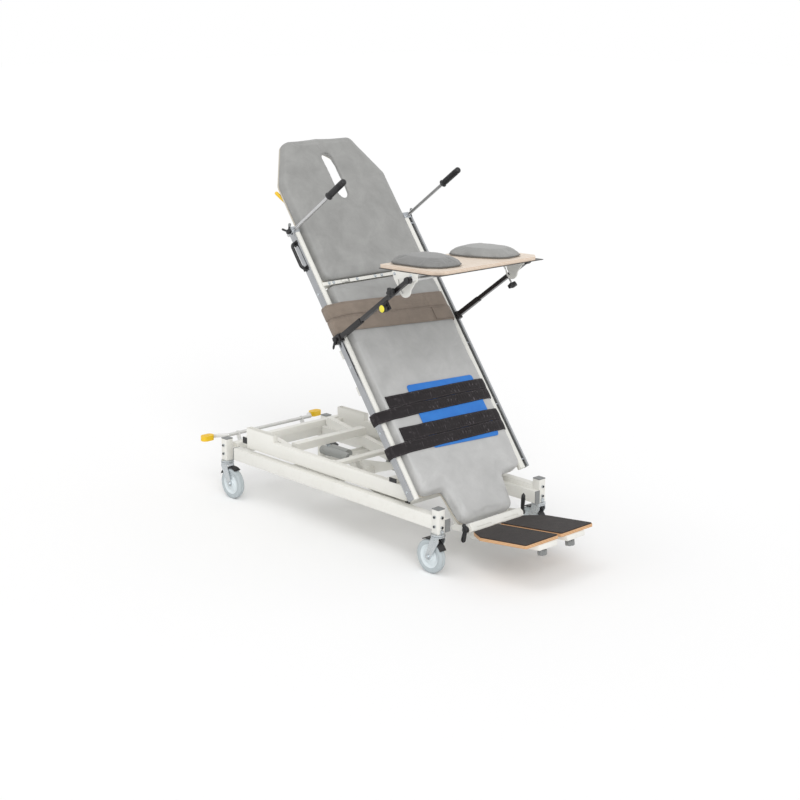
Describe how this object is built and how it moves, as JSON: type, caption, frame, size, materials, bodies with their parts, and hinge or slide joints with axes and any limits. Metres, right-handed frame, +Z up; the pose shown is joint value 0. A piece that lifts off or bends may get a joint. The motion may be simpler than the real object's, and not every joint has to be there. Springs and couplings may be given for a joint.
{
  "type": "tilt table",
  "caption": "Tilt table on braked castors: low lift frame, padded top tilted about 54 degrees, straps, footplates, tray and hand grips.",
  "frame": {"origin": "on the floor under the middle of the table's overall length and width", "axes": "+X towards the footplates, +Y towards the far side, +Z up"},
  "size_m": [2.0168, 0.7956, 1.746],
  "materials": {
    "frame_paint": "satin",
    "clear_zinc": "satin",
    "bright_steel": "polished",
    "black_plastic": "matte",
    "black_metal": "satin",
    "grey_plastic": "matte",
    "wheel_grey": "satin",
    "yellow_plastic": "satin",
    "upholstery": "matte",
    "belt_web": "matte",
    "strap_web": "matte",
    "blue_foam": "matte",
    "plywood": "satin"
  },
  "bodies": {
    "chassis": {"corner_posts": "frame_paint", "chassis_rails": "frame_paint", "chassis_beams": "frame_paint", "chassis_caps": "grey_plastic", "chassis_pins": "clear_zinc", "lift_cylinder": "black_metal"},
    "brake": {"brake_bar": "clear_zinc", "brake_grips": "yellow_plastic"},
    "rear_arms": {"rear_lift_arms": "frame_paint"},
    "lift_rod": {"lift_rod": "bright_steel"},
    "front_arms": {"front_lift_arms": "frame_paint"},
    "lift_frame": {"lift_frame_beams": "frame_paint", "lift_frame_crosses": "frame_paint", "lift_frame_covers": "black_plastic", "tilt_cylinder": "black_metal"},
    "tilt_rod": {"tilt_rod": "bright_steel"},
    "table": {"top_frame_tubes": "frame_paint", "top_frame_crosses": "frame_paint", "accessory_rails": "bright_steel", "lower_mattress": "upholstery", "waist_belt": "belt_web", "leg_straps": "strap_web", "knee_pad": "blue_foam", "side_handle": "black_plastic", "gas_cylinder": "black_metal"},
    "head": {"head_frame": "frame_paint", "head_mattress": "upholstery"},
    "release_lever": {"release_lever": "yellow_plastic"},
    "gas_rod": {"gas_rod": "bright_steel"},
    "foot_slide": {"foot_slide": "frame_paint"},
    "foot_cross": {"foot_cross_tube": "frame_paint", "foot_carriers": "frame_paint"},
    "plate_near": {"footplate_near": "plywood"},
    "plate_far": {"footplate_far": "plywood"},
    "foot_knob_near": {"foot_knob_near": "grey_plastic"},
    "foot_knob_far": {"foot_knob_far": "grey_plastic"},
    "foot_lever_near": {"foot_lever_near": "black_plastic"},
    "foot_lever_far": {"foot_lever_far": "black_plastic"},
    "grip_near": {"hand_grip_near": "black_plastic"},
    "grip_far": {"hand_grip_far": "black_plastic"},
    "grip_lever_near": {"grip_lever_near": "black_plastic"},
    "grip_lever_far": {"grip_lever_far": "black_plastic"},
    "tray_clamps": {"tray_clamps": "black_metal"},
    "tray_clamp_lever_near": {"tray_clamp_lever_near": "black_plastic"},
    "tray_clamp_lever_far": {"tray_clamp_lever_far": "black_plastic"},
    "tray_struts": {"tray_struts": "black_metal"},
    "tray": {"tray_board": "plywood", "tray_frame": "frame_paint", "elbow_pads": "upholstery"},
    "tray_knob_near": {"tray_knob_near": "black_plastic"},
    "tray_knob_yellow": {"tray_knob_yellow": "yellow_plastic"},
    "tray_knob_far": {"tray_knob_far": "black_plastic"},
    "castor_1": {"castor_fork_1": "clear_zinc"},
    "wheel_1": {"castor_wheel_1": "wheel_grey"},
    "castor_2": {"castor_fork_2": "clear_zinc"},
    "wheel_2": {"castor_wheel_2": "wheel_grey"},
    "castor_3": {"castor_fork_3": "clear_zinc"},
    "wheel_3": {"castor_wheel_3": "wheel_grey"},
    "castor_4": {"castor_fork_4": "clear_zinc"},
    "wheel_4": {"castor_wheel_4": "wheel_grey"}
  },
  "joints": [
    {"name": "castor_swivel_1", "type": "hinge", "parent": "chassis", "child": "castor_1", "pos_m": [0.59194, -0.318, 0.185], "axis": [0, 0, 1], "continuous": true},
    {"name": "wheel_spin_1", "type": "hinge", "parent": "castor_1", "child": "wheel_1", "pos_m": [0.55194, -0.318, 0.075], "axis": [0, 1, 0], "continuous": true},
    {"name": "castor_swivel_2", "type": "hinge", "parent": "chassis", "child": "castor_2", "pos_m": [0.59194, 0.318, 0.185], "axis": [0, 0, 1], "continuous": true},
    {"name": "wheel_spin_2", "type": "hinge", "parent": "castor_2", "child": "wheel_2", "pos_m": [0.55194, 0.318, 0.075], "axis": [0, 1, 0], "continuous": true},
    {"name": "castor_swivel_3", "type": "hinge", "parent": "chassis", "child": "castor_3", "pos_m": [-0.86406, -0.318, 0.185], "axis": [0, 0, 1], "continuous": true},
    {"name": "wheel_spin_3", "type": "hinge", "parent": "castor_3", "child": "wheel_3", "pos_m": [-0.82406, -0.318, 0.075], "axis": [0, 1, 0], "continuous": true},
    {"name": "castor_swivel_4", "type": "hinge", "parent": "chassis", "child": "castor_4", "pos_m": [-0.86406, 0.318, 0.185], "axis": [0, 0, 1], "continuous": true},
    {"name": "wheel_spin_4", "type": "hinge", "parent": "castor_4", "child": "wheel_4", "pos_m": [-0.82406, 0.318, 0.075], "axis": [0, 1, 0], "continuous": true},
    {"name": "brake_bar_tilt", "type": "hinge", "parent": "chassis", "child": "brake", "pos_m": [-0.89806, 0, 0.225], "axis": [0, 1, 0], "range_deg": [-15, 15]},
    {"name": "lift", "type": "hinge", "parent": "chassis", "child": "rear_arms", "pos_m": [-0.17606, 0, 0.222], "axis": [0, 1, 0], "range_deg": [0, 56]},
    {"name": "lift_rod_slide", "type": "slide", "parent": "chassis", "child": "lift_rod", "axis": [1, 0, 0], "range_m": [0, 0.064]},
    {"name": "front_arm_turn", "type": "hinge", "parent": "chassis", "child": "front_arms", "pos_m": [0.36394, 0, 0.222], "axis": [0, 1, 0], "range_deg": [0, 56]},
    {"name": "lift_frame_turn", "type": "hinge", "parent": "rear_arms", "child": "lift_frame", "pos_m": [-0.69606, 0, 0.312], "axis": [0, 1, 0], "range_deg": [-56, 0]},
    {"name": "table_tilt", "type": "hinge", "parent": "lift_frame", "child": "table", "pos_m": [0.36894, 0, 0.319], "axis": [0, 1, 0], "range_deg": [-53.7, 21.3]},
    {"name": "tilt_rod_slide", "type": "slide", "parent": "lift_frame", "child": "tilt_rod", "axis": [1, 0, 0], "range_m": [-0.028, 0.069]},
    {"name": "head_rise", "type": "hinge", "parent": "table", "child": "head", "pos_m": [-0.12625, 0, 1.15697], "axis": [0, 1, 0], "range_deg": [0, 60]},
    {"name": "gas_rod_slide", "type": "slide", "parent": "table", "child": "gas_rod", "axis": [-0.592, 0, 0.8059], "range_m": [0, 0.0645]},
    {"name": "release_lever_pull", "type": "hinge", "parent": "head", "child": "release_lever", "pos_m": [-0.40746, -0.24, 1.44858], "axis": [-0.8059, 0, -0.592], "range_deg": [0, 15], "stiffness_Nm_per_rad": 2, "springref_deg": -11.46},
    {"name": "foot_end_slide", "type": "slide", "parent": "table", "child": "foot_slide", "axis": [0.592, 0, -0.8059], "range_m": [0, 0.1]},
    {"name": "footboard_tilt", "type": "hinge", "parent": "foot_slide", "child": "foot_cross", "pos_m": [0.6185, 0, 0.17351], "axis": [0, 1, 0], "range_deg": [-30, 10]},
    {"name": "plate_slide_near", "type": "slide", "parent": "foot_cross", "child": "plate_near", "axis": [0.9925, 0, 0.1219], "range_m": [0, 0.03]},
    {"name": "plate_slide_far", "type": "slide", "parent": "foot_cross", "child": "plate_far", "axis": [0.9925, 0, 0.1219], "range_m": [0, 0.03]},
    {"name": "foot_knob_turn_near", "type": "hinge", "parent": "foot_cross", "child": "foot_knob_near", "pos_m": [0.97104, -0.088, 0.17015], "axis": [-0.1219, 0, 0.9925], "range_deg": [-180, 180]},
    {"name": "foot_knob_turn_far", "type": "hinge", "parent": "foot_cross", "child": "foot_knob_far", "pos_m": [0.97104, 0.088, 0.17015], "axis": [-0.1219, 0, 0.9925], "range_deg": [-180, 180]},
    {"name": "foot_lever_turn_near", "type": "hinge", "parent": "foot_slide", "child": "foot_lever_near", "pos_m": [0.6185, -0.1698, 0.17351], "axis": [0, 1, 0], "range_deg": [-60, 60]},
    {"name": "foot_lever_turn_far", "type": "hinge", "parent": "foot_slide", "child": "foot_lever_far", "pos_m": [0.6185, 0.1698, 0.17351], "axis": [0, 1, 0], "range_deg": [-60, 60]},
    {"name": "grip_slide_near", "type": "slide", "parent": "table", "child": "grip_near", "axis": [0.8059, 0, 0.592], "range_m": [-0.15, 0]},
    {"name": "grip_slide_far", "type": "slide", "parent": "table", "child": "grip_far", "axis": [0.8059, 0, 0.592], "range_m": [-0.15, 0]},
    {"name": "grip_lever_turn_near", "type": "hinge", "parent": "table", "child": "grip_lever_near", "pos_m": [-0.31182, -0.368, 1.37242], "axis": [0, 1, 0], "range_deg": [-45, 45]},
    {"name": "grip_lever_turn_far", "type": "hinge", "parent": "table", "child": "grip_lever_far", "pos_m": [-0.31182, 0.368, 1.37242], "axis": [0, 1, 0], "range_deg": [-45, 45]},
    {"name": "tray_travel", "type": "slide", "parent": "table", "child": "tray_clamps", "axis": [0.592, 0, -0.8059], "range_m": [0, 0.3]},
    {"name": "tray_clamp_turn_near", "type": "hinge", "parent": "tray_clamps", "child": "tray_clamp_lever_near", "pos_m": [0.01427, -0.38, 0.93696], "axis": [0, 1, 0], "range_deg": [-45, 45]},
    {"name": "tray_clamp_turn_far", "type": "hinge", "parent": "tray_clamps", "child": "tray_clamp_lever_far", "pos_m": [0.01427, 0.38, 0.93696], "axis": [0, 1, 0], "range_deg": [-45, 45]},
    {"name": "tray_height", "type": "slide", "parent": "tray_clamps", "child": "tray_struts", "axis": [0.8059, 0, 0.592], "range_m": [-0.015, 0.08]},
    {"name": "tray_tilt", "type": "hinge", "parent": "tray_struts", "child": "tray", "pos_m": [0.44786, 0, 1.25546], "axis": [0, 1, 0], "range_deg": [-25, 4]},
    {"name": "tray_knob_turn_near", "type": "hinge", "parent": "tray_struts", "child": "tray_knob_near", "pos_m": [0.36888, -0.3723, 1.19744], "axis": [0, 1, 0], "range_deg": [-180, 180]},
    {"name": "tray_knob_turn_yellow", "type": "hinge", "parent": "tray_struts", "child": "tray_knob_yellow", "pos_m": [0.32292, -0.3723, 1.1215], "axis": [0, 1, 0], "range_deg": [-180, 180]},
    {"name": "tray_knob_turn_far", "type": "hinge", "parent": "tray_struts", "child": "tray_knob_far", "pos_m": [0.34197, 0.363, 1.16651], "axis": [0.592, 0, -0.8059], "range_deg": [-180, 180]}
  ],
  "couplings": [
    {"joint": "lift_rod_slide", "follows": "lift", "m_per_rad": 0.0645},
    {"joint": "front_arm_turn", "follows": "lift", "ratio": 1},
    {"joint": "lift_frame_turn", "follows": "lift", "ratio": -1},
    {"joint": "tilt_rod_slide", "follows": "table_tilt", "m_per_rad": -0.0715},
    {"joint": "gas_rod_slide", "follows": "head_rise", "m_per_rad": 0.061}
  ]
}
